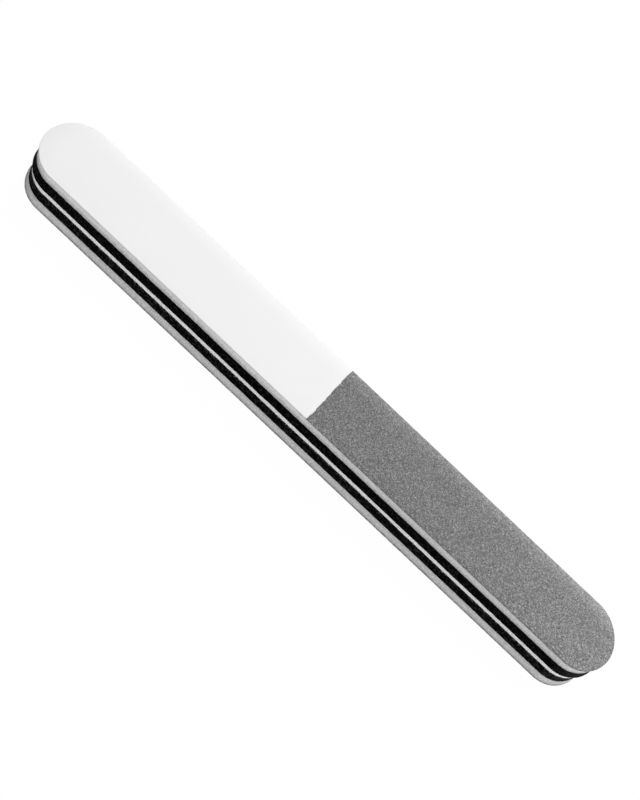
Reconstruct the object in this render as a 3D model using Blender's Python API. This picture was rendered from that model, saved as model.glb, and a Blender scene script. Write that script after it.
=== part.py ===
"""Straight padded nail buffer with rounded ends, for Blender 4.5.

A stiff core board carries two layers of EVA foam on each side, black next to
the board and light grey outside. One abrasive filing sheet covers the whole
underside. The top is shared by a white polishing sheet and a grey buffing
sheet that meet near the middle. Thin adhesive films bond every layer.

The script works in metres. The stick lies along X with its polishing end at
-X, +Z is up, and the origin is under the middle of the stick.
"""

import math

import bmesh
import bpy

MM = 0.001

# Plan of the stick. END_DEPTH is how far the arc of a rounded end reaches past
# the point where it would meet the straight sides, and CORNER_RADIUS rounds
# that point off.
LENGTH = 178.0 * MM
WIDTH = 19.05 * MM
END_DEPTH = 7.2 * MM
CORNER_RADIUS = 8.5 * MM

# Thickness of each layer in the middle of the stick, from the underside to the
# top, and of the films between them. BOND_GAP keeps neighbouring faces from
# sharing a plane.
FILING_SHEET = 0.35 * MM
LOWER_GREY_FOAM = 2.08 * MM
LOWER_BLACK_FOAM = 3.12 * MM
CORE_BOARD = 1.66 * MM
UPPER_BLACK_FOAM = 2.7 * MM
UPPER_GREY_FOAM = 2.76 * MM
TOP_SHEET = 0.4 * MM
ADHESIVE_FILM = 0.1 * MM
BOND_GAP = 0.01 * MM

# How far the edge of each layer stands out from the outline at its bottom,
# middle and top: the foam draws in between the faces that hold it.
LOWER_GREY_EDGE = (-0.06 * MM, -0.25 * MM, -0.3 * MM)
LOWER_BLACK_EDGE = (-0.3 * MM, -0.24 * MM, -0.05 * MM)
CORE_BOARD_EDGE = (-0.2 * MM, -0.2 * MM, -0.2 * MM)
UPPER_BLACK_EDGE = (0.0 * MM, -0.2 * MM, -0.25 * MM)
UPPER_GREY_EDGE = (-0.25 * MM, -0.24 * MM, -0.06 * MM)
SHEET_EDGE = (0.0 * MM, 0.0 * MM, 0.0 * MM)
FILM_SETBACK = 0.2 * MM

# The cutting die rolls the top down by EDGE_ROLL at the outline, in a band
# that is ROLL_WIDTH wide.
EDGE_ROLL = 0.22 * MM
ROLL_WIDTH = 4.5 * MM

# The butt joint between the two top sheets: its place along X, its turn
# about Z and the slit that is left between the sheets.
DIVISION_X = -0.46 * MM
DIVISION_SLANT = math.radians(0.8)
DIVISION_SLIT = 0.1 * MM

# Facets round each end, up each foam edge and across the rolled band.
END_FACETS = 32
EDGE_FACETS = 4
ROLL_FACETS = 4

SMOOTH_BELOW = math.radians(40)


def end_points(side, grown):
    """Rounded end at +X or -X, for side 1 or -1, anticlockwise and grown outwards."""
    half_width = WIDTH / 2
    tip_radius = (END_DEPTH**2 + half_width**2) / (2 * END_DEPTH)
    tip_x = LENGTH / 2 - tip_radius
    corner_radius = min(CORNER_RADIUS, half_width)
    corner_y = half_width - corner_radius
    corner_x = tip_x + math.sqrt(max((tip_radius - corner_radius) ** 2 - corner_y**2, 0.0))
    corner_angle = math.atan2(corner_y, corner_x - tip_x)
    points = []
    for facet in range(END_FACETS + 1):
        angle = math.pi * (facet / END_FACETS - 0.5)
        if abs(angle) > corner_angle:
            x, y, radius = corner_x, math.copysign(corner_y, angle), corner_radius
        else:
            x, y, radius = tip_x, 0.0, tip_radius
        x += (radius + grown) * math.cos(angle)
        y += (radius + grown) * math.sin(angle)
        points.append((side * x, side * y))
    return points


def whole_outline(grown, cut_grown):
    """Outline of the full stick. It has no cut, so cut_grown changes nothing."""
    return end_points(1, grown) + end_points(-1, grown)


def half_outline(side, grown, cut_grown):
    """Outline of the stick on one side of the division, whose cut edge is grown by cut_grown."""
    points = end_points(side, grown)
    for y in (points[-1][1], points[0][1]):
        cut = DIVISION_X + y * math.tan(DIVISION_SLANT)
        points.append((cut + side * (DIVISION_SLIT / 2 - cut_grown), y))
    return points


def polishing_outline(grown, cut_grown):
    """Outline of the sheets on the polishing end."""
    return half_outline(-1, grown, cut_grown)


def buffing_outline(grown, cut_grown):
    """Outline of the sheets on the buffing end."""
    return half_outline(1, grown, cut_grown)


def surface(name, colour, roughness):
    """Non-metallic material of one colour."""
    material = bpy.data.materials.new(name)
    material.use_nodes = True
    shader = material.node_tree.nodes["Principled BSDF"]
    shader.inputs["Base Color"].default_value = (*colour, 1.0)
    shader.inputs["Roughness"].default_value = roughness
    shader.inputs["Metallic"].default_value = 0.0
    material.diffuse_color = (*colour, 1.0)
    return material


def black_foam():
    return surface("black_foam", (0.006, 0.006, 0.006), 0.8)


def grey_foam():
    return surface("grey_foam", (0.45, 0.45, 0.45), 0.85)


def board_plastic():
    return surface("board_plastic", (0.68, 0.68, 0.67), 0.45)


def clear_adhesive():
    return surface("clear_adhesive", (0.55, 0.54, 0.5), 0.3)


def filing_grit():
    return surface("filing_grit", (0.085, 0.085, 0.085), 0.9)


def polishing_skin():
    return surface("polishing_skin", (0.85, 0.85, 0.85), 0.5)


def buffing_grit():
    return surface("buffing_grit", (0.22, 0.22, 0.22), 0.8)


def rolled(inset):
    """How much lower the top is at this distance inside the outline than in the middle."""
    return EDGE_ROLL * max(0.0, 1 - max(0.0, inset) / ROLL_WIDTH) ** 2


def standing(edge, height):
    """How far an edge stands out at a height from 0 to 1, through its three given places."""
    bottom, middle, top = edge
    near_bottom = (1 - height) * (1 - 2 * height)
    near_middle = 4 * height * (1 - height)
    near_top = height * (2 * height - 1)
    return bottom * near_bottom + middle * near_middle + top * near_top


def roll_insets():
    """Distances inside the outline of the rings across the rolled band, innermost first."""
    return [ROLL_WIDTH * (1 - facet / ROLL_FACETS) for facet in range(ROLL_FACETS)]


def layer_rings(thickness, edge, rolled_below, rolled_above):
    """How far out and how high each ring of a layer is, from its underside round the edge to its top."""
    rings = []
    if rolled_below:
        rings += [(-inset, -rolled(inset)) for inset in roll_insets()]
    facets = 1 if min(edge) == max(edge) else EDGE_FACETS
    for facet in range(facets + 1):
        out = standing(edge, facet / facets)
        low = -rolled(-out) if rolled_below else 0.0
        high = thickness - rolled(-out) if rolled_above else thickness
        rings.append((out, low + (high - low) * facet / facets))
    if rolled_above:
        rings += [(-inset, thickness - rolled(inset)) for inset in reversed(roll_insets())]
    return rings


def layer_mesh(name, outline, edge, rings):
    """Closed solid through rings of as many points each, with its first and last ring filled."""
    mesh = bmesh.new()
    loops = []
    for out, height in rings:
        loops.append([mesh.verts.new((x, y, height)) for x, y in outline(out, edge[0])])
    mesh.faces.new(loops[0])
    mesh.faces.new(loops[-1])
    for below, above in zip(loops, loops[1:]):
        for index in range(len(below)):
            mesh.faces.new((below[index - 1], below[index], above[index], above[index - 1]))
    bmesh.ops.recalc_face_normals(mesh, faces=mesh.faces)
    data = bpy.data.meshes.new(name)
    mesh.to_mesh(data)
    mesh.free()
    data.shade_smooth()
    data.set_sharp_from_angle(angle=SMOOTH_BELOW)
    return data


class Stick:
    """The pieces stacked so far, all children of one empty."""

    def __init__(self, name):
        self.pieces = bpy.data.collections.new(name)
        bpy.context.scene.collection.children.link(self.pieces)
        self.root = bpy.data.objects.new(name + "_root", None)
        self.root.empty_display_size = WIDTH
        self.pieces.objects.link(self.root)
        self.level = 0.0

    def place(
        self,
        name,
        thickness,
        material,
        outline=whole_outline,
        edge=SHEET_EDGE,
        rolled_below=False,
        rolled_above=False,
    ):
        """Put a piece on top of the stack, at the present level."""
        rings = layer_rings(thickness, edge, rolled_below, rolled_above)
        data = layer_mesh(name, outline, edge, rings)
        data.materials.append(material)
        piece = bpy.data.objects.new(name, data)
        piece.parent = self.root
        piece.location.z = self.level
        self.pieces.objects.link(piece)

    def rise(self, thickness):
        """Raise the level over the pieces that were placed on it."""
        self.level += thickness + BOND_GAP


def film_edge(below, above):
    """Edge of a film that ends just short of both layers it joins."""
    out = min(below[2], above[0]) - FILM_SETBACK
    return (out, out, out)


def lay_filing_sheet(stick):
    stick.place("filing_sheet", FILING_SHEET, filing_grit())
    stick.rise(FILING_SHEET)


def lay_film(stick, name, glue, below, above):
    stick.place(name, ADHESIVE_FILM, glue, edge=film_edge(below, above))
    stick.rise(ADHESIVE_FILM)


def lay_layer(stick, name, thickness, material, edge, rolled_above=False):
    stick.place(name, thickness, material, edge=edge, rolled_above=rolled_above)
    stick.rise(thickness)


def lay_top_films(stick, glue):
    edge = film_edge(UPPER_GREY_EDGE, SHEET_EDGE)
    for name, outline in (
        ("polishing_sheet_adhesive", polishing_outline),
        ("buffing_sheet_adhesive", buffing_outline),
    ):
        stick.place(name, ADHESIVE_FILM, glue, outline, edge, rolled_below=True, rolled_above=True)
    stick.rise(ADHESIVE_FILM)


def lay_top_sheets(stick):
    for name, material, outline in (
        ("polishing_sheet", polishing_skin(), polishing_outline),
        ("buffing_sheet", buffing_grit(), buffing_outline),
    ):
        stick.place(name, TOP_SHEET, material, outline, SHEET_EDGE, rolled_below=True, rolled_above=True)
    stick.rise(TOP_SHEET)


def build():
    """Stack the buffer from the underside to the top."""
    stick = Stick("nail_buffer")
    black = black_foam()
    grey = grey_foam()
    board = board_plastic()
    glue = clear_adhesive()
    lay_filing_sheet(stick)
    lay_film(stick, "filing_sheet_adhesive", glue, SHEET_EDGE, LOWER_GREY_EDGE)
    lay_layer(stick, "lower_grey_foam", LOWER_GREY_FOAM, grey, LOWER_GREY_EDGE)
    lay_film(stick, "lower_foam_adhesive", glue, LOWER_GREY_EDGE, LOWER_BLACK_EDGE)
    lay_layer(stick, "lower_black_foam", LOWER_BLACK_FOAM, black, LOWER_BLACK_EDGE)
    lay_film(stick, "lower_core_adhesive", glue, LOWER_BLACK_EDGE, CORE_BOARD_EDGE)
    lay_layer(stick, "core_board", CORE_BOARD, board, CORE_BOARD_EDGE)
    lay_film(stick, "upper_core_adhesive", glue, CORE_BOARD_EDGE, UPPER_BLACK_EDGE)
    lay_layer(stick, "upper_black_foam", UPPER_BLACK_FOAM, black, UPPER_BLACK_EDGE)
    lay_film(stick, "upper_foam_adhesive", glue, UPPER_BLACK_EDGE, UPPER_GREY_EDGE)
    lay_layer(stick, "upper_grey_foam", UPPER_GREY_FOAM, grey, UPPER_GREY_EDGE, rolled_above=True)
    lay_top_films(stick, glue)
    lay_top_sheets(stick)


def clear_scene():
    """Remove every object that the scene starts with."""
    for item in list(bpy.data.objects):
        bpy.data.objects.remove(item, do_unlink=True)


clear_scene()
build()
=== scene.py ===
"""Dresses the nail buffer: foam layers, core board, abrasive sheets and a pale studio."""

import math
from typing import NamedTuple

import bmesh
import bpy
import numpy as np
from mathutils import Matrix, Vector


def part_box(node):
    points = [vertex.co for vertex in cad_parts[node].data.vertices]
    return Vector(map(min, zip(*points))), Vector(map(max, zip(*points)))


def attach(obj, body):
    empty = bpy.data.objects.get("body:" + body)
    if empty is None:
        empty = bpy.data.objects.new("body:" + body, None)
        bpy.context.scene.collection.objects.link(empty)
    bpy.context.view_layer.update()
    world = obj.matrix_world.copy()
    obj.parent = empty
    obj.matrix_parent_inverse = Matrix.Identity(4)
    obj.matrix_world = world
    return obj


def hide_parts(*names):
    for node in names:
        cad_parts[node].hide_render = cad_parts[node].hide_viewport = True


bl_info = {
    "name": "Nail buffer stick",
    "version": (1, 0, 0),
    "blender": (4, 5, 0),
    "location": "3D View > Sidebar > Nail buffer",
    "description": "Detailed foam, board and abrasive sheets for the packed nail buffer",
    "category": "Object",
}

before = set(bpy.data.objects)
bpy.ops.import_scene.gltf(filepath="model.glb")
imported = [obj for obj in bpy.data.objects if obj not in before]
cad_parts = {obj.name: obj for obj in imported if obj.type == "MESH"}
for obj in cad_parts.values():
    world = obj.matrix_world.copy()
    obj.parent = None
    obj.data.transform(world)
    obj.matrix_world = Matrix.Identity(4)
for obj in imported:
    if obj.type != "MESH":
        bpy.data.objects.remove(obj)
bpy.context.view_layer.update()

MM = 0.001
BODY = "root"
STICK_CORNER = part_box("filing_sheet")[1]
HALF_LENGTH = STICK_CORNER.x
HALF_WIDTH = STICK_CORNER.y

# Foam layers from the underside to the top, and the material slot of each.
FOAM_LAYERS = {
    "lower_grey_foam": "grey_foam",
    "lower_black_foam": "black_foam",
    "upper_black_foam": "black_foam",
    "upper_grey_foam": "grey_foam",
}
TOP_FOAM = "upper_grey_foam"

# How far the cut edge of each layer stands out from the outline at its bottom,
# middle and top, in millimetres. Below 0 it draws in.
OVERHANGS = {
    "lower_grey_foam": (-0.08, -0.42, -0.36),
    "lower_black_foam": (-0.4, -0.46, -0.3),
    "core_board": (-0.34, -0.3, -0.34),
    "upper_black_foam": (0.05, -0.18, -0.26),
    "upper_grey_foam": (-0.3, -0.28, -0.04),
}

# Distance between the points up the edge of the board, and how far its pores
# and the marks of the cutting die make it uneven.
BOARD_ROW = 0.16 * MM
BOARD_PORES = 0.004 * MM
BOARD_STREAKS = 0.01 * MM

# How far inside its edge the flat bottom and the flat top of a layer have their
# last ring, the distance between the rings of a rolled top, and how far in they
# go, in widths of the rolled band.
BOTTOM_INSET = 0.5 * MM
TOP_INSET = 0.9 * MM
ROLL_STEP = 0.75 * MM
ROLL_REACH = 1.1

# Fewest steps up an edge, and how often its unevenness is smoothed along it.
LEAST_STEPS = 4
PORE_PASSES = 1
STREAK_PASSES = 2
WAVE_PASSES = 60

# Teeth of the cut between the top sheets: the place of each across the stick
# and its length in millimetres, and its height as a part of the cut's wander.
TEETH = ((-6.1, 2.6, 3.0), (-2.2, 1.4, 1.6), (0.2, 0.8, 2.6), (4.6, 1.8, 1.8), (9.2, 2.2, 1.8))

# How much of the cut's wander is fine and how much is slow, and how often each
# is smoothed.
FINE_WANDER = 0.25
FINE_PASSES = 1
SLOW_WANDER = 0.4
SLOW_PASSES = 30

# Distances in millimetres from the edge of a sheet to its first rows of points.
EDGE_ROWS = (0.0, 0.04, 0.1, 0.2, 0.36)

# Spacing of the points along two of the sheets, in grit steps, and how many
# times as high as on the buffing sheet the grains of the filing sheet are.
POLISHING_SPACING = 1.8
FILING_SPACING = 1.3
FILING_GRAIN = 1.4

# Spare rows of the lattice that the grit is taken from, and the height that no
# grain passes, in spreads of the random heights.
LATTICE_SPARE = 4
TALLEST_GRAIN = 2.2

# Number of points at which the way round an end is measured.
ARC_SAMPLES = 2000

# Edges that turn by more than this stay sharp.
SHARP_ABOVE = math.radians(50)

# Seed of the random unevenness of each piece. The edge of a layer also uses the
# next two, and the cut the next one.
SEEDS = {
    "lower_grey_foam": 11,
    "lower_black_foam": 21,
    "upper_black_foam": 31,
    "upper_grey_foam": 41,
    "core_board": 51,
    "filing_sheet": 61,
    "cut": 71,
    "polishing_sheet": 81,
    "buffing_sheet": 91,
}

# Heights in millimetres above the underside at which a finish starts and stops
# changing. No foam lies between the two faces of the board.
BOARD_FACES = [corner.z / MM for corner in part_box("core_board")]
FILING_WALL = (0.02, 0.08)
# Painted shade at the foot of the lower grey foam, by the filing sheet.
LOWER_GREY_SHADE = (0.4, 1.1)
# Painted light along the top of the lower black foam, just under the board.
LIGHT_UNDER_BOARD = (5.0, 5.9)
# Painted shade at the foot of the upper grey foam, where it meets the black foam.
UPPER_GREY_SHADE = (10.5, 11.6)
# Painted light near the top of the upper grey foam.
FOAM_TOP_LIGHT = (11.2, 12.4)
TOP_WALL = (13.3, 13.5)
# Painted sheen on the rolled band of the buffing sheet.
SHEEN_EDGE = (13.6, 13.72)

# The same for places along the stick, and for the rubbed band across it, both
# from its middle.
HALVES_MEET = (-0.8, 0.0)
# Painted light towards the buffing end of the buffing sheet.
LIT_BUFFING_END = (30, 84)
# Painted light on the black foam at the buffing end.
LIT_FOAM_END = (80, 87)
RUBBED_BAND = (5.2, 8.7)

# Range in which nearly all of a cloudy pattern lies, and the direction in which
# patterns are moved so that no two match.
CLOUD_RANGE = (0.3, 0.7)
SHIFT_DIRECTION = (1, 0.7, 0.3)

# Lamps: how wide a far lamp looks, how high it stands above the horizon, how
# far it is turned to the right from straight behind the stick, and the width
# and height of the near ones in metres.
SUN_SPREAD = math.radians(60)
TOP_HEIGHT = math.radians(78)
TOP_SIDE = math.radians(-60)
FILL_SIDE = math.radians(140)
RIM_SIZE = (1.4, 0.3)
END_SIZE = (0.2, 0.2)

# Floor: half its width in metres, its gap under the stick, the grey that the
# object gets light from, and how much more than the rest of white its shaded
# part gives, so that it is white wherever no shadow falls.
FLOOR_REACH = 3.0
FLOOR_GAP = 0.05 * MM
FLOOR_GREY = 0.5
SHADED_GAIN = 1.15

# Nearest and furthest that the camera sees, in metres.
CAMERA_RANGE = (0.01, 20)


class BufferShape(bpy.types.PropertyGroup):
    """Sizes of the detail that the plain solids leave out."""

    end_depth: bpy.props.FloatProperty(
        name="End depth",
        description="How far the arc of a rounded end reaches past where it would meet the sides",
        default=7.2 * MM,
        min=1 * MM,
        unit="LENGTH",
    )
    corner_radius: bpy.props.FloatProperty(
        name="Corner radius",
        description="Radius that rounds off where a side meets the arc of an end",
        default=8.5 * MM,
        min=1 * MM,
        unit="LENGTH",
    )
    foam_step: bpy.props.FloatProperty(
        name="Foam step",
        description="Distance between the points along a foam edge",
        default=0.3 * MM,
        min=0.1 * MM,
        unit="LENGTH",
    )
    foam_row: bpy.props.FloatProperty(
        name="Foam row",
        description="Distance between the points up a foam edge",
        default=0.19 * MM,
        min=0.05 * MM,
        unit="LENGTH",
    )
    pore_depth: bpy.props.FloatProperty(
        name="Pore depth",
        description="How far the cut cells make a foam edge uneven",
        default=0.014 * MM,
        unit="LENGTH",
    )
    streak_depth: bpy.props.FloatProperty(
        name="Streak depth",
        description="How far the marks of the cutting die make a foam edge uneven",
        default=0.012 * MM,
        unit="LENGTH",
    )
    smear: bpy.props.FloatProperty(
        name="Smear",
        description="How far the die draws the edge of a layer over the films beside it",
        default=0.05 * MM,
        min=0.01 * MM,
        max=0.055 * MM,
        unit="LENGTH",
    )
    grit_step: bpy.props.FloatProperty(
        name="Grit step",
        description="Distance between the points on an abrasive sheet",
        default=0.25 * MM,
        min=0.1 * MM,
        unit="LENGTH",
    )
    grit_height: bpy.props.FloatProperty(
        name="Grit height",
        description="How far the grains of the buffing sheet rise and fall",
        default=0.01 * MM,
        unit="LENGTH",
    )
    roll_width: bpy.props.FloatProperty(
        name="Roll width",
        description="Width of the band in which the top bends down to its edge",
        default=4.5 * MM,
        unit="LENGTH",
    )
    roll_drop: bpy.props.FloatProperty(
        name="Roll drop",
        description="How much lower the edge of the top is than its middle",
        default=0.22 * MM,
        unit="LENGTH",
    )
    edge_radius: bpy.props.FloatProperty(
        name="Edge radius",
        description="Radius of the sharp edge that the cutting die leaves on a sheet",
        default=0.06 * MM,
        unit="LENGTH",
    )
    cut_slant: bpy.props.FloatProperty(
        name="Cut slant",
        description="Turn of the line between the two top sheets",
        default=math.radians(1.0),
        subtype="ANGLE",
    )
    cut_place: bpy.props.FloatProperty(
        name="Cut place",
        description="Where the line between the two top sheets crosses the middle",
        default=-0.46 * MM,
        unit="LENGTH",
    )
    cut_slit: bpy.props.FloatProperty(
        name="Cut slit",
        description="Gap between the two top sheets",
        default=0.05 * MM,
        unit="LENGTH",
    )
    cut_wander: bpy.props.FloatProperty(
        name="Cut wander",
        description="How far the line between the two top sheets strays",
        default=0.09 * MM,
        unit="LENGTH",
    )


class BufferFinish(bpy.types.PropertyGroup):
    """Colours of the layers."""

    polishing_colour: bpy.props.FloatVectorProperty(
        name="Polishing sheet",
        description="Colour of the white polishing sheet",
        default=(0.81, 0.81, 0.81),
        min=0,
        max=1,
        subtype="COLOR",
    )
    buffing_colour: bpy.props.FloatVectorProperty(
        name="Buffing sheet",
        description="Colour of the grey buffing sheet",
        default=(0.087, 0.087, 0.087),
        min=0,
        max=1,
        subtype="COLOR",
    )
    filing_colour: bpy.props.FloatVectorProperty(
        name="Filing sheet",
        description="Colour of the dark filing sheet on the underside",
        default=(0.075, 0.075, 0.075),
        min=0,
        max=1,
        subtype="COLOR",
    )
    grey_foam_colour: bpy.props.FloatVectorProperty(
        name="Grey foam",
        description="Colour of the outer foam layers",
        default=(0.585, 0.585, 0.585),
        min=0,
        max=1,
        subtype="COLOR",
    )
    black_foam_colour: bpy.props.FloatVectorProperty(
        name="Black foam",
        description="Colour of the inner foam layers",
        default=(0.002, 0.002, 0.002),
        min=0,
        max=1,
        subtype="COLOR",
    )
    board_colour: bpy.props.FloatVectorProperty(
        name="Core board",
        description="Colour of the stiff plastic board in the middle",
        default=(0.8, 0.8, 0.8),
        min=0,
        max=1,
        subtype="COLOR",
    )
    glue_colour: bpy.props.FloatVectorProperty(
        name="Adhesive",
        description="Colour of the thin films between the layers",
        default=(0.5, 0.49, 0.46),
        min=0,
        max=1,
        subtype="COLOR",
    )


class BufferStudio(bpy.types.PropertyGroup):
    """Camera, lamps and floor."""

    camera_place: bpy.props.FloatVectorProperty(
        name="Camera place",
        description="Where the camera stands",
        default=(-8.415 * MM, -188.298 * MM, 270.935 * MM),
        subtype="TRANSLATION",
    )
    camera_turn: bpy.props.FloatVectorProperty(
        name="Camera turn",
        description="Turn of the camera about X, then Y, then Z",
        default=(0.469797, -0.426912, 0.645737),
        subtype="EULER",
    )
    camera_lens: bpy.props.FloatProperty(
        name="Camera lens",
        description="Focal length in millimetres on a 36 mm sensor",
        default=62.13,
        min=1,
    )
    sky_light: bpy.props.FloatProperty(
        name="Sky light",
        description="Strength of the even light from all round",
        default=0.3,
        min=0,
    )
    rim_light: bpy.props.FloatProperty(
        name="Rim light",
        description="Power in watts of the wide strip lamp behind the stick",
        default=8.0,
        min=0,
    )
    rim_place: bpy.props.FloatVectorProperty(
        name="Rim lamp place",
        description="Where the strip lamp behind the stick stands",
        default=(0.05, 1.214, 0.882),
        subtype="TRANSLATION",
    )
    top_light: bpy.props.FloatProperty(
        name="Top light",
        description="Strength of the wide soft lamp overhead",
        default=0.75,
        min=0,
    )
    fill_light: bpy.props.FloatProperty(
        name="Fill light",
        description="Strength of the soft lamp in front on the right",
        default=1.7,
        min=0,
    )
    fill_height: bpy.props.FloatProperty(
        name="Fill height",
        description="How high the fill lamp stands above the horizon",
        default=math.radians(22),
        subtype="ANGLE",
    )
    end_light: bpy.props.FloatProperty(
        name="End light",
        description="Power in watts of the near lamp behind the buffing end",
        default=0.36,
        min=0,
    )
    end_place: bpy.props.FloatVectorProperty(
        name="End lamp place",
        description="Where the near lamp behind the buffing end stands",
        default=(255 * MM, 190 * MM, 235 * MM),
        subtype="TRANSLATION",
    )
    floor_glow: bpy.props.FloatProperty(
        name="Floor glow",
        description="Part of the floor's white that shadows leave alone",
        default=0.965,
        min=0,
        max=1,
    )


def shape():
    """Sizes of the detail."""
    return bpy.context.scene.buffer_shape


def finish():
    """Colours of the layers."""
    return bpy.context.scene.buffer_finish


def studio():
    """Settings of the camera, lamps and floor."""
    return bpy.context.scene.buffer_studio


class Surface:
    """Finish of one material, drawn in millimetres of the stick."""

    def __init__(self, name, roughness, shine):
        self.material = bpy.data.materials.new(name)
        self.material.use_nodes = True
        self.tree = self.material.node_tree
        self.shader = self.tree.nodes["Principled BSDF"]
        self.shader.inputs["Roughness"].default_value = roughness
        self.shader.inputs["Specular IOR Level"].default_value = shine
        place = self.node("ShaderNodeTexCoord")
        scale = self.node("ShaderNodeVectorMath", operation="SCALE")
        scale.inputs["Scale"].default_value = 1 / MM
        self.link(place.outputs["Object"], scale.inputs[0])
        self.place = scale.outputs[0]

    def node(self, kind, **settings):
        """New node with its settings."""
        made = self.tree.nodes.new(kind)
        for name, value in settings.items():
            setattr(made, name, value)
        return made

    def link(self, out, into):
        """Join an output to an input."""
        self.tree.links.new(out, into)

    def moved(self, shift, stretch=(1, 1, 1)):
        """Millimetres of the stick, stretched and moved so that no two patterns match."""
        mapping = self.node("ShaderNodeMapping")
        mapping.inputs["Scale"].default_value = stretch
        mapping.inputs["Location"].default_value = [shift * part for part in SHIFT_DIRECTION]
        self.link(self.place, mapping.inputs["Vector"])
        return mapping.outputs["Vector"]

    def noise(self, grain, detail, stretch=(1, 1, 1), shift=0):
        """Cloudy pattern, about 0.5 in its middle, with blots of the size grain in mm."""
        made = self.node("ShaderNodeTexNoise")
        made.inputs["Scale"].default_value = 1 / grain
        made.inputs["Detail"].default_value = detail
        self.link(self.moved(shift, stretch), made.inputs["Vector"])
        return made.outputs["Fac"]

    def cells(self, grain, shift):
        """Node that parts the surface into cells of the size grain in mm."""
        made = self.node("ShaderNodeTexVoronoi")
        made.inputs["Scale"].default_value = 1 / grain
        self.link(self.moved(shift), made.inputs["Vector"])
        return made

    def grains(self, grain, shift=0):
        """Even random value from 0 to 1 for each cell of the size grain in mm."""
        split = self.node("ShaderNodeSeparateColor")
        self.link(self.cells(grain, shift).outputs["Color"], split.inputs["Color"])
        return split.outputs["Red"]

    def pits(self, grain, shift=0):
        """Distance from the middle of the nearest cell of the size grain in mm."""
        return self.cells(grain, shift).outputs["Distance"]

    def coordinate(self, axis):
        """Place along one axis in millimetres."""
        split = self.node("ShaderNodeSeparateXYZ")
        self.link(self.place, split.inputs[0])
        return split.outputs[axis]

    def height(self):
        """Height above the underside in millimetres."""
        return self.coordinate("Z")

    def under_board(self):
        """1 on the foam under the board and 0 on the foam over it."""
        return self.between(self.height(), 1, 0, *BOARD_FACES)

    def along(self):
        """Place along the stick in millimetres from its middle."""
        return self.coordinate("X")

    def across(self):
        """Distance in millimetres from the upright plane along the middle of the stick."""
        distance = self.node("ShaderNodeMath", operation="ABSOLUTE")
        self.link(self.coordinate("Y"), distance.inputs[0])
        return distance.outputs[0]

    def between(self, out, low, high, start=0, stop=1):
        """Pattern that goes from low to high while another goes from start to stop."""
        ranged = self.node("ShaderNodeMapRange")
        ranged.inputs["From Min"].default_value = start
        ranged.inputs["From Max"].default_value = stop
        ranged.inputs["To Min"].default_value = low
        ranged.inputs["To Max"].default_value = high
        self.link(out, ranged.inputs["Value"])
        return ranged.outputs["Result"]

    def speckled(self, grain, spread, shift=0):
        """Random factor for each cell of the size grain in mm, up to spread away from 1."""
        return self.between(self.grains(grain, shift), 1 - spread, 1 + spread)

    def clouded(self, grain, spread, detail, stretch=(1, 1, 1), shift=0):
        """Cloudy factor with blots of the size grain in mm, up to spread away from 1."""
        noise = self.noise(grain, detail, stretch, shift)
        return self.between(noise, 1 - spread, 1 + spread, *CLOUD_RANGE)

    def joined(self, operation, first, *others):
        """Patterns joined one after another by an operation."""
        for other in others:
            step = self.node("ShaderNodeMath", operation=operation)
            self.link(first, step.inputs[0])
            self.link(other, step.inputs[1])
            first = step.outputs[0]
        return first

    def times(self, *patterns):
        """Product of patterns."""
        return self.joined("MULTIPLY", *patterns)

    def plus(self, *patterns):
        """Sum of patterns."""
        return self.joined("ADD", *patterns)

    def peak(self, *patterns):
        """Largest of patterns."""
        return self.joined("MAXIMUM", *patterns)

    def one_plus(self, out):
        """Factor that a pattern lifts above 1."""
        total = self.node("ShaderNodeMath", operation="ADD")
        total.inputs[0].default_value = 1
        self.link(out, total.inputs[1])
        return total.outputs[0]

    def tint(self, colour, factor):
        """Base colour times a pattern that varies about 1."""
        product = self.node("ShaderNodeVectorMath", operation="SCALE")
        product.inputs[0].default_value = tuple(colour)
        self.link(factor, product.inputs["Scale"])
        self.link(product.outputs[0], self.shader.inputs["Base Color"])

    def vary_roughness(self, out):
        """Roughness from a pattern."""
        self.link(out, self.shader.inputs["Roughness"])

    def relief(self, out, depth):
        """Small relief of that depth in millimetres."""
        bump = self.node("ShaderNodeBump")
        bump.inputs["Distance"].default_value = depth * MM
        self.link(out, bump.inputs["Height"])
        self.link(bump.outputs["Normal"], self.shader.inputs["Normal"])


def grey_foam_surface():
    """Die-cut light grey foam with fine closed cells, with painted shade at the foot of each layer
    and painted light near the top of the upper one.
    """
    made = Surface("grey_foam", roughness=0.85, shine=0.2)
    cells = made.speckled(0.18, spread=0.2)
    streaks = made.clouded(0.17, spread=0.16, detail=1, stretch=(1, 1, 0.12), shift=5)
    clouds = made.clouded(5, spread=0.03, detail=2, shift=11)
    level = made.height()
    # Painted shade: each grey layer darker towards its foot.
    upper = made.between(level, 0.68, 1.1, *UPPER_GREY_SHADE)
    lower = made.times(made.between(level, 0.7, 1, *LOWER_GREY_SHADE), made.under_board())
    # Under the board upper stays at 0.68, so lower is larger. Over the board lower is 0.
    painted_shade = made.peak(upper, lower)
    # Painted light: the top of the upper grey foam lighter, most under the white polishing sheet.
    painted_top_light = made.between(level, 0, 1, *FOAM_TOP_LIGHT)
    gain = made.between(made.along(), 0.22, 0.04, *HALVES_MEET)
    bright = made.one_plus(made.times(painted_top_light, gain))
    pattern = made.times(cells, streaks, clouds, painted_shade, bright)
    made.tint(finish().grey_foam_colour, pattern)
    made.relief(made.pits(0.2, shift=3), depth=0.015)
    return made.material


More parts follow.
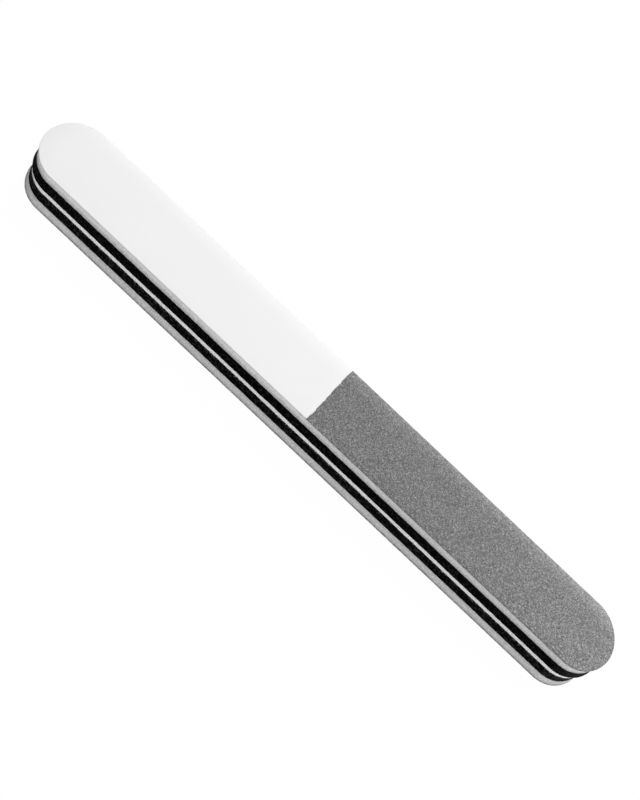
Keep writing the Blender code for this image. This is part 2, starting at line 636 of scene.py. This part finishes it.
def black_foam_surface():
    """Die-cut black foam, dull, with the odd paler torn cell, painted light in blots under the board
    and painted light at the buffing end.
    """
    made = Surface("black_foam", roughness=0.9, shine=0.03)
    torn = made.between(made.grains(0.34), 0.1, 17, start=0.76, stop=1)
    level = made.height()
    calmer_above = made.between(level, 1, 0.5, *BOARD_FACES)
    # Painted light in blots along the top of the lower black foam, just under the board.
    painted_under_light = made.times(made.between(level, 0, 1, *LIGHT_UNDER_BOARD), made.under_board())
    blots = made.noise(0.5, detail=3, stretch=(1, 1, 0.3), shift=15)
    spots = made.between(blots, 3, 15, start=0.35, stop=0.65)
    pale = made.one_plus(made.times(painted_under_light, spots))
    # Painted light on the black foam towards the buffing end.
    end = made.between(made.along(), 0, 7, *LIT_FOAM_END)
    pattern = made.plus(made.times(torn, calmer_above, pale), end)
    made.tint(finish().black_foam_colour, pattern)
    made.relief(made.pits(0.22, shift=9), depth=0.03)
    return made.material


def board_surface():
    """White plastic board with fine marks of the cutting die on its edge."""
    made = Surface("board_plastic", roughness=0.45, shine=0.4)
    marks = made.clouded(0.17, spread=0.12, detail=1, stretch=(1, 1, 0.15), shift=2)
    nicks = made.speckled(0.25, spread=0.25, shift=4)
    made.tint(finish().board_colour, made.times(marks, nicks))
    made.relief(made.noise(0.25, detail=4, stretch=(1, 1, 0.2), shift=6), depth=0.01)
    return made.material


def glue_surface():
    """Clear film adhesive, a little cloudy."""
    made = Surface("clear_adhesive", roughness=0.3, shine=0.5)
    made.tint(finish().glue_colour, made.clouded(1.5, spread=0.15, detail=3, shift=8))
    made.vary_roughness(made.between(made.noise(0.8, detail=2, shift=1), 0.25, 0.4))
    return made.material


def filing_surface():
    """Coarse dark grit in resin on the underside, with a paler wall where it is cut."""
    made = Surface("filing_grit", roughness=0.75, shine=0.35)
    grit = made.speckled(0.24, spread=0.65)
    clouds = made.clouded(2.5, spread=0.12, detail=3, shift=3)
    wall = made.between(made.height(), 1, 4.2, *FILING_WALL)
    made.tint(finish().filing_colour, made.times(grit, clouds, wall))
    made.vary_roughness(made.between(made.grains(0.3, shift=5), 0.45, 0.95))
    bumps = made.plus(made.grains(0.2, shift=2), made.pits(0.3, shift=6))
    made.relief(bumps, depth=0.06)
    return made.material


def polishing_surface():
    """Smooth white polishing skin with a soft, very fine tooth and a darker wall."""
    made = Surface("polishing_skin", roughness=0.33, shine=0.5)
    tooth = made.clouded(0.25, spread=0.007, detail=2, shift=1)
    clouds = made.clouded(9, spread=0.005, detail=2, shift=6)
    wall = made.between(made.height(), 0.72, 1, *TOP_WALL)
    made.tint(finish().polishing_colour, made.times(tooth, clouds, wall))
    made.vary_roughness(made.between(made.noise(0.6, detail=2, shift=4), 0.3, 0.36))
    made.relief(made.noise(0.3, detail=3, shift=9), depth=0.004)
    return made.material


def buffing_surface():
    """Fine grey grit whose grains each catch the light, rubbed along its edges, with a painted sheen
    on the rolled edges and painted light towards the end.
    """
    made = Surface("buffing_grit", roughness=0.32, shine=0.72)
    fine = made.speckled(0.23, spread=1)
    finer = made.speckled(0.16, spread=1, shift=4)
    clouds = made.clouded(3, spread=0.04, detail=3, shift=2)
    # Painted light: lighter towards the buffing end.
    end_highlight = made.between(made.along(), 1, 1.25, *LIT_BUFFING_END)
    level = made.height()
    wall = made.between(level, 1.5, 1, *TOP_WALL)
    # Painted sheen on the rolled band by the edges.
    edge_sheen = made.between(level, 1.08, 1, *SHEEN_EDGE)
    made.tint(finish().buffing_colour, made.times(fine, finer, wall, edge_sheen, clouds, end_highlight))
    gleam = made.between(made.grains(0.2, shift=8), 0.42, 0.56)
    rubbed = made.between(made.across(), 1, 0.6, *RUBBED_BAND)
    made.vary_roughness(made.times(gleam, rubbed))
    made.relief(made.grains(0.14, shift=3), depth=0.006)
    return made.material


class EndArcs(NamedTuple):
    """Arcs of the end at +X: round its tip, and round its corner on the +Y side.

    meet is the outward direction, as an angle from +X, where one turns into the other.
    """

    tip_radius: float
    tip_x: float
    corner_radius: float
    corner_x: float
    corner_y: float
    meet: float


def end_arcs():
    """Arcs of the end at +X as the settings give them."""
    depth = shape().end_depth
    tip_radius = (depth**2 + HALF_WIDTH**2) / (2 * depth)
    tip_x = HALF_LENGTH - tip_radius
    corner_radius = min(shape().corner_radius, HALF_WIDTH)
    corner_y = HALF_WIDTH - corner_radius
    ahead = math.sqrt(max((tip_radius - corner_radius) ** 2 - corner_y**2, 0.0))
    meet = math.atan2(corner_y, ahead)
    return EndArcs(tip_radius, tip_x, corner_radius, tip_x + ahead, corner_y, meet)


def straight_end():
    """Where the straight sides end, along X."""
    return end_arcs().corner_x


def end_outline(angle, grown=0.0):
    """Points round the end at +X at these angles, and their outward directions."""
    arcs = end_arcs()
    outward = np.column_stack([np.cos(angle), np.sin(angle)])
    on_corner = np.abs(angle) > arcs.meet
    centre_x = np.where(on_corner, arcs.corner_x, arcs.tip_x)
    centre_y = np.where(on_corner, np.copysign(arcs.corner_y, angle), 0.0)
    reach = np.where(on_corner, arcs.corner_radius, arcs.tip_radius) + grown
    return np.column_stack([centre_x, centre_y]) + outward * reach[:, None], outward


def rim(grown=0.0):
    """Points round the stick, anticlockwise and moved out by grown, and their outward directions."""
    step = shape().foam_step
    on_arc = round(math.pi * HALF_WIDTH / step) + 1
    on_side = round(2 * straight_end() / step) - 1
    arc, arc_out = end_outline(np.linspace(-math.pi / 2, math.pi / 2, on_arc), grown)
    along = np.linspace(arc[-1, 0], -arc[-1, 0], on_side + 2)[1:-1]
    side = np.column_stack([along, np.full(on_side, arc[-1, 1])])
    side_out = np.tile((0.0, 1.0), (on_side, 1))
    points = np.concatenate([arc, side, -arc, -side])
    outward = np.concatenate([arc_out, side_out, -arc_out, -side_out])
    return points, outward


def inset(points):
    """Distance of each point from the outline, exact in the band that is rolled."""
    arcs = end_arcs()
    x, y = np.abs(points[..., 0]), np.abs(points[..., 1])
    from_side = HALF_WIDTH - y
    from_end = arcs.tip_radius - np.hypot(x - arcs.tip_x, y)
    from_corner = arcs.corner_radius - np.hypot(x - arcs.corner_x, y - arcs.corner_y)
    facing_end = (x > arcs.tip_x) & (np.arctan2(y, x - arcs.tip_x) <= arcs.meet)
    distance = np.where(x > arcs.corner_x, from_corner, from_side)
    return np.maximum(np.where(facing_end, from_end, distance), 0)


def roll(distance):
    """How much lower the top is at a distance from its edge than in the middle."""
    sizes = shape()
    return sizes.roll_drop * np.clip(1 - distance / sizes.roll_width, 0, 1) ** 2


def grained(rows, columns, seed, passes):
    """Random heights with mean 0 and spread 1, smoothed along each row, whose ends meet."""
    field = np.random.default_rng(seed).standard_normal((rows, columns))
    for _ in range(passes):
        field = field * 0.5 + (np.roll(field, 1, 1) + np.roll(field, -1, 1)) * 0.25
    return (field - field.mean()) / field.std()


def grit_at(points, pitch, seed):
    """Random heights with mean 0 and spread 1 at these places, from a lattice of that pitch."""
    place = (points + (HALF_LENGTH, HALF_WIDTH)) / pitch + 1
    counts = [math.ceil(2 * size / pitch) + LATTICE_SPARE for size in (HALF_LENGTH, HALF_WIDTH)]
    lattice = np.random.default_rng(seed).standard_normal(counts)
    low = np.floor(place).astype(int)
    column, row = low[..., 0], low[..., 1]
    along, across = (place - low)[..., 0], (place - low)[..., 1]
    near = lattice[column, row] * (1 - across) + lattice[column, row + 1] * across
    far = lattice[column + 1, row] * (1 - across) + lattice[column + 1, row + 1] * across
    heights = near * (1 - along) + far * along
    return np.clip((heights - heights.mean()) / heights.std(), -TALLEST_GRAIN, TALLEST_GRAIN)


def placed(name, data):
    """New object in the scene."""
    made = bpy.data.objects.new(name, data)
    bpy.context.scene.collection.objects.link(made)
    return made


def piece(name, points, faces, material, node):
    """Closed piece that stands for a CAD node and rides with the stick."""
    data = bpy.data.meshes.new(name)
    data.from_pydata(points.tolist(), [], faces)
    mesh = bmesh.new()
    mesh.from_mesh(data)
    bmesh.ops.recalc_face_normals(mesh, faces=mesh.faces)
    mesh.to_mesh(data)
    mesh.free()
    data.materials.append(material)
    data.shade_smooth()
    data.set_sharp_from_angle(angle=SHARP_ABOVE)
    made = placed(name, data)
    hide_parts(node)
    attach(made, BODY)
    return made


def lofted(rings):
    """Points and faces of a closed form through rings, with its first and last ring filled."""
    count = len(rings[0])
    around = np.arange(count)
    ahead = np.roll(around, -1)
    faces = [around[::-1].tolist()]
    for row in range(len(rings) - 1):
        low = row * count
        high = low + count
        quads = np.column_stack([low + around, low + ahead, high + ahead, high + around])
        faces += quads.tolist()
    faces.append((around + (len(rings) - 1) * count).tolist())
    return np.concatenate(rings), faces


def ring(grown, height, unevenness=0.0):
    """Ring of points at one height, moved out by grown and by an unevenness of each point."""
    points, outward = rim(grown)
    points = points + outward * np.reshape(unevenness, (-1, 1))
    return np.column_stack([points, np.full(len(points), height)])


def overhang(name, height):
    """How far the edge of a layer stands out at a height from 0 to 1."""
    bottom, middle, top = OVERHANGS[name]
    straight = bottom + (top - bottom) * height
    crown = middle - (bottom + top) / 2
    return (straight + crown * (1 - (2 * height - 1) ** 2)) * MM


def edge_rings(name, low, high, row, pores, streaks):
    """Rings up the cut edge of a layer, about row apart, with its pores and streaks."""
    seed = SEEDS[name]
    rows = max(LEAST_STEPS, round((high - low) / row)) + 1
    count = len(rim()[0])
    fine = grained(rows, count, seed, PORE_PASSES) * pores
    cut = grained(1, count, seed + 1, STREAK_PASSES)[0] * streaks
    wave = grained(1, count, seed + 2, WAVE_PASSES)[0] * streaks
    rings = []
    for index in range(rows):
        height = index / (rows - 1)
        level = low + (high - low) * height
        rings.append(ring(overhang(name, height), level, fine[index] + cut + wave))
    return rings


def layer(name, material, slot, row, pores, streaks):
    """Layer between the faces of its CAD node. The top of the top foam is rolled.

    Its cut edge is detailed and drawn a little over the films above and below it.
    """
    low, high = (corner.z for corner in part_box(name))
    foot, head = overhang(name, 0), overhang(name, 1)
    lip = shape().smear
    if name == TOP_FOAM:
        insets = np.arange(ROLL_STEP, shape().roll_width * ROLL_REACH, ROLL_STEP)
        top = [ring(-distance, high - roll(distance)) for distance in insets]
        edge_high = high - roll(-head)
    else:
        top = [ring(-TOP_INSET, high)]
        edge_high = high
    edge = edge_rings(name, low - lip, edge_high + lip, row, pores, streaks)
    bottom = [ring(foot - lip - BOTTOM_INSET, low), ring(foot - lip, low)]
    points, faces = lofted([*bottom, *edge, ring(head - lip, edge_high), *top])
    return piece(name + "_cut", points, faces, material, name)


class NAILBUFFER_OT_foam_layers(bpy.types.Operator):
    """Cut foam layers, light grey outside and black next to the board"""

    bl_idname = "nail_buffer.foam_layers"
    bl_label = "Foam layers"

    def execute(self, context):
        sizes = shape()
        detail = sizes.foam_row, sizes.pore_depth, sizes.streak_depth
        surfaces = {"grey_foam": grey_foam_surface(), "black_foam": black_foam_surface()}
        for name, slot in FOAM_LAYERS.items():
            foam = layer(name, surfaces[slot], slot, *detail)
        return {"FINISHED"}


class NAILBUFFER_OT_core_board(bpy.types.Operator):
    """Stiff white plastic board between the foam layers"""

    bl_idname = "nail_buffer.core_board"
    bl_label = "Core board"

    def execute(self, context):
        detail = BOARD_ROW, BOARD_PORES, BOARD_STREAKS
        layer("core_board", board_surface(), "board_plastic", *detail)
        return {"FINISHED"}


class NAILBUFFER_OT_adhesive_films(bpy.types.Operator):
    """Clear adhesive films between the layers"""

    bl_idname = "nail_buffer.adhesive_films"
    bl_label = "Adhesive films"

    def execute(self, context):
        glue = glue_surface()
        for name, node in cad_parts.items():
            if name.endswith("_adhesive"):
                node.data.materials.clear()
                node.data.materials.append(glue)
        return {"FINISHED"}


def row_places(spacing):
    """Place of each row of points across a sheet, from -1 to 1, finer near the edge."""
    fine = np.array(EDGE_ROWS) * MM
    even = round((HALF_WIDTH - fine[-1]) / spacing)
    distances = np.concatenate([fine, np.linspace(fine[-1], HALF_WIDTH, even + 1)[1:]])
    inward = 1 - distances / HALF_WIDTH
    return np.concatenate([-inward, inward[-2::-1]])


def arc_columns(side, rows, spacing):
    """Columns of points over the rounded end at +X or -X, for side 1 or -1, and its tip."""
    angle = np.linspace(math.pi / 2, 0, ARC_SAMPLES)
    steps = np.abs(np.diff(end_outline(angle)[0], axis=0)).max(1)
    travel = np.concatenate([[0.0], np.cumsum(steps)])
    count = round(travel[-1] / spacing)
    chosen = np.interp(np.linspace(0, travel[-1], count + 1)[1:-1], travel, angle)
    outline = end_outline(chosen)[0]
    x = side * outline[:, :1] + rows * 0
    y = outline[:, 1:] * rows
    return np.stack([x, y], 2), np.array([side * HALF_LENGTH, 0.0])


def cut_line(y, side):
    """Ragged line that parts the two top sheets, for the sheet on that side."""
    sizes = shape()
    seed = SEEDS["cut"]
    fine = grained(1, len(y), seed, FINE_PASSES)[0] * FINE_WANDER
    slow = grained(1, len(y), seed + 1, SLOW_PASSES)[0] * SLOW_WANDER
    wander = fine + slow
    for place, reach, height in TEETH:
        behind = place * MM - y
        in_tooth = (behind >= 0) & (behind < reach * MM)
        wander += height * np.where(in_tooth, 1 - behind / (reach * MM), 0)
    straight = sizes.cut_place + y * math.tan(sizes.cut_slant)
    return straight + (wander - wander.mean()) * sizes.cut_wander + side * sizes.cut_slit / 2


def straight_columns(start, end, rows, spacing):
    """Columns of points from the line start to the line end along X, both given for each row."""
    count = round(abs(float(np.mean(end - start))) / spacing)
    share = np.linspace(0, 1, count + 1)[:, None]
    x = start + (end - start) * share
    y = np.broadcast_to(rows * HALF_WIDTH, x.shape)
    return np.stack([x, y], 2)


def woven(patch, tips):
    """Points of a patch with its tips, its faces, and its border in order.

    patch holds the columns of points, and tips the end points before and after them.
    """
    grid = np.arange(patch.shape[0] * patch.shape[1]).reshape(patch.shape[:2])
    points = patch.reshape(-1, 2)
    quads = [grid[:-1, :-1], grid[1:, :-1], grid[1:, 1:], grid[:-1, 1:]]
    faces = np.stack([corner.ravel() for corner in quads], 1).tolist()
    ends = []
    for column, tip in zip((grid[0, ::-1].tolist(), grid[-1].tolist()), tips):
        if tip is None:
            ends.append(column[1:-1])
        else:
            at_tip = len(points)
            faces += [[at_tip, near, far] for near, far in zip(column[:-1], column[1:])]
            ends.append([at_tip])
            points = np.concatenate([points, [tip]])
    border = [*ends[0], *grid[:, 0].tolist(), *ends[1], *grid[::-1, -1].tolist()]
    return points, faces, border


def sheet_skin(name, patch, tips, base, face, rough, rolled=True):
    """Points and faces of a sheet: a rough outer face, a wall and a back, both rolled or both flat.

    base is the height of the back in the middle, and face that of the outer face.
    """
    sizes = shape()
    flat, faces, border = woven(patch, tips)
    up = math.copysign(1, face - base)
    distance = inset(flat)
    down = roll(distance) if rolled else np.zeros(len(flat))
    soft = sizes.edge_radius * np.clip(1 - distance / (2 * sizes.edge_radius), 0, 1) ** 2
    grit = grit_at(flat, sizes.grit_step, SEEDS[name]) * rough
    outer = face - down - up * soft + up * grit
    back = base - down
    points = np.concatenate([np.column_stack([flat, outer]), np.column_stack([flat, back])])
    behind = len(flat)
    faces += [[behind + index for index in reversed(corners)] for corners in faces]
    for here, after in zip(border, border[1:] + border[:1]):
        faces.append([here, after, behind + after, behind + here])
    return points, faces


def half_sheet(name, side, spacing, rough, material):
    """Sheet on the +X or -X half of the top, for side 1 or -1."""
    low, face = (corner.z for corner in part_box(name))
    base = low + shape().roll_drop
    rows = row_places(shape().grit_step)
    start = cut_line(rows * HALF_WIDTH, side)
    end = np.full(len(rows), side * straight_end())
    body = straight_columns(start, end, rows, spacing)
    arc, tip = arc_columns(side, rows, spacing)
    patch = np.concatenate([body, arc])
    points, faces = sheet_skin(name, patch, (None, tip), base, face, rough)
    return piece(name + "_skin", points, faces, material, name)


class NAILBUFFER_OT_polishing_sheet(bpy.types.Operator):
    """White polishing sheet on the -X half of the top"""

    bl_idname = "nail_buffer.polishing_sheet"
    bl_label = "Polishing sheet"

    def execute(self, context):
        spacing = shape().grit_step * POLISHING_SPACING
        half_sheet("polishing_sheet", -1, spacing, 0.0, polishing_surface())
        return {"FINISHED"}


class NAILBUFFER_OT_buffing_sheet(bpy.types.Operator):
    """Grey buffing sheet on the +X half of the top"""

    bl_idname = "nail_buffer.buffing_sheet"
    bl_label = "Buffing sheet"

    def execute(self, context):
        spacing = shape().grit_step
        rough = shape().grit_height
        half_sheet("buffing_sheet", 1, spacing, rough, buffing_surface())
        return {"FINISHED"}


class NAILBUFFER_OT_filing_sheet(bpy.types.Operator):
    """Dark filing sheet over the whole underside"""

    bl_idname = "nail_buffer.filing_sheet"
    bl_label = "Filing sheet"

    def execute(self, context):
        name = "filing_sheet"
        face, base = (corner.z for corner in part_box(name))
        spacing = shape().grit_step * FILING_SPACING
        rough = shape().grit_height * FILING_GRAIN
        rows = row_places(spacing)
        ends = np.full(len(rows), straight_end())
        right, right_tip = arc_columns(1, rows, spacing)
        left, left_tip = arc_columns(-1, rows, spacing)
        body = straight_columns(-ends, ends, rows, spacing)
        patch = np.concatenate([left[::-1], body, right])
        tips = left_tip, right_tip
        points, faces = sheet_skin(name, patch, tips, base, face, rough, rolled=False)
        piece("filing_sheet_skin", points, faces, filing_surface(), name)
        return {"FINISHED"}


def shader(tree, kind, **values):
    """Output of a new shader node with these values."""
    made = tree.nodes.new(kind)
    for name, value in values.items():
        made.inputs[name].default_value = value
    return made.outputs[0]


def seen_directly(tree):
    """1 for camera, glossy and transmission rays, and 0 for the others."""
    path = tree.nodes.new("ShaderNodeLightPath")
    names = ("Is Camera Ray", "Is Glossy Ray", "Is Transmission Ray")
    seen = path.outputs[names[0]]
    for name in names[1:]:
        either = tree.nodes.new("ShaderNodeMath")
        either.operation = "MAXIMUM"
        tree.links.new(seen, either.inputs[0])
        tree.links.new(path.outputs[name], either.inputs[1])
        seen = either.outputs[0]
    return seen


def two_faced(tree, lighting, seen):
    """Shader that lights the object in one way and is seen in another."""
    mixed = tree.nodes.new("ShaderNodeMixShader")
    tree.links.new(seen_directly(tree), mixed.inputs["Fac"])
    tree.links.new(lighting, mixed.inputs[1])
    tree.links.new(seen, mixed.inputs[2])
    return mixed.outputs[0]


def floor_surface():
    """Pale floor: white to the camera apart from a faint shadow, and light grey to the object."""
    material = bpy.data.materials.new("studio_floor")
    material.use_nodes = True
    tree = material.node_tree
    tree.nodes.clear()
    glow = studio().floor_glow
    rest = (1 - glow) * SHADED_GAIN
    matt = shader(tree, "ShaderNodeBsdfDiffuse", Color=(FLOOR_GREY, FLOOR_GREY, FLOOR_GREY, 1))
    shaded = shader(tree, "ShaderNodeBsdfDiffuse", Color=(rest, rest, rest, 1))
    light = shader(tree, "ShaderNodeEmission", Strength=glow)
    white = tree.nodes.new("ShaderNodeAddShader")
    tree.links.new(shaded, white.inputs[0])
    tree.links.new(light, white.inputs[1])
    out = tree.nodes.new("ShaderNodeOutputMaterial")
    tree.links.new(two_faced(tree, matt, white.outputs[0]), out.inputs["Surface"])
    return material


def sky():
    """Even world light that looks white."""
    world = bpy.data.worlds.new("studio_sky")
    world.use_nodes = True
    tree = world.node_tree
    tree.nodes.clear()
    white = (1, 1, 1, 1)
    lights = shader(tree, "ShaderNodeBackground", Color=white, Strength=studio().sky_light)
    seen = shader(tree, "ShaderNodeBackground", Color=white)
    out = tree.nodes.new("ShaderNodeOutputWorld")
    tree.links.new(two_faced(tree, lights, seen), out.inputs["Surface"])
    return world


def soft_sun(name, strength, height, side, glares=True):
    """Soft far lamp. side is its turn from straight behind the stick towards the right.

    A lamp that doesn't glare isn't seen in glossy surfaces.
    """
    data = bpy.data.lights.new(name, "SUN")
    data.energy = strength
    data.angle = SUN_SPREAD
    level = math.cos(height)
    towards = Vector((math.sin(side) * level, math.cos(side) * level, math.sin(height)))
    lamp = placed(name, data)
    lamp.location = towards
    lamp.visible_glossy = glares
    lamp.rotation_euler = towards.to_track_quat("Z", "Y").to_euler()


def near_lamp(name, power, size, place):
    """Flat lamp of a width and a height at a place, turned towards the stick."""
    data = bpy.data.lights.new(name, "AREA")
    data.energy = power
    data.shape = "RECTANGLE"
    data.size, data.size_y = size
    lamp = placed(name, data)
    lamp.location = place
    lamp.rotation_euler = Vector(place).to_track_quat("Z", "Y").to_euler()


def lay_floor():
    """Pale floor just under the stick."""
    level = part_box("filing_sheet")[0].z - FLOOR_GAP
    turns = ((-1, -1), (1, -1), (1, 1), (-1, 1))
    corners = [(x * FLOOR_REACH, y * FLOOR_REACH, level) for x, y in turns]
    data = bpy.data.meshes.new("floor")
    data.from_pydata(corners, [], [(0, 1, 2, 3)])
    data.materials.append(floor_surface())
    floor = placed("floor", data)


def set_up_camera():
    """Camera at the photograph's viewing angle."""
    settings = studio()
    lens = bpy.data.cameras.new("camera")
    lens.lens = settings.camera_lens
    lens.clip_start, lens.clip_end = CAMERA_RANGE
    camera = placed("camera", lens)
    camera.location = settings.camera_place
    camera.rotation_euler = settings.camera_turn
    bpy.context.scene.camera = camera


class NAILBUFFER_OT_stage(bpy.types.Operator):
    """Pale floor, soft studio light and the camera"""

    bl_idname = "nail_buffer.stage"
    bl_label = "Studio"

    def execute(self, context):
        settings = studio()
        lay_floor()
        context.scene.world = sky()
        near_lamp("rim_lamp", settings.rim_light, RIM_SIZE, settings.rim_place)
        soft_sun("top_lamp", settings.top_light, TOP_HEIGHT, TOP_SIDE)
        soft_sun("fill_lamp", settings.fill_light, settings.fill_height, FILL_SIDE, glares=False)
        near_lamp("end_lamp", settings.end_light, END_SIZE, settings.end_place)
        set_up_camera()
        context.scene.view_settings.view_transform = "Standard"
        return {"FINISHED"}


STEPS = (
    NAILBUFFER_OT_stage,
    NAILBUFFER_OT_filing_sheet,
    NAILBUFFER_OT_foam_layers,
    NAILBUFFER_OT_core_board,
    NAILBUFFER_OT_adhesive_films,
    NAILBUFFER_OT_polishing_sheet,
    NAILBUFFER_OT_buffing_sheet,
)

GROUPS = {
    "buffer_shape": BufferShape,
    "buffer_finish": BufferFinish,
    "buffer_studio": BufferStudio,
}


class NAILBUFFER_PT_sidebar(bpy.types.Panel):
    """Steps that dress the nail buffer"""

    bl_label = "Nail buffer"
    bl_space_type = "VIEW_3D"
    bl_region_type = "UI"
    bl_category = "Nail buffer"

    def draw(self, context):
        for step in STEPS:
            self.layout.operator(step.bl_idname)
        for group in GROUPS:
            settings = getattr(context.scene, group)
            box = self.layout.box()
            for name in settings.bl_rna.properties.keys():
                if name not in ("rna_type", "name"):
                    box.prop(settings, name)


def register():
    """Make the operators, settings and panel known to Blender."""
    for name, group in GROUPS.items():
        bpy.utils.register_class(group)
        setattr(bpy.types.Scene, name, bpy.props.PointerProperty(type=group))
    for made in (*STEPS, NAILBUFFER_PT_sidebar):
        bpy.utils.register_class(made)


def unregister():
    """Take them away again."""
    for made in (NAILBUFFER_PT_sidebar, *reversed(STEPS)):
        bpy.utils.unregister_class(made)
    for name, group in GROUPS.items():
        delattr(bpy.types.Scene, name)
        bpy.utils.unregister_class(group)


def main():
    """Dress the model."""
    register()
    for step in STEPS:
        group, name = step.bl_idname.split(".")
        getattr(getattr(bpy.ops, group), name)()


if __name__ == "__main__":
    main()
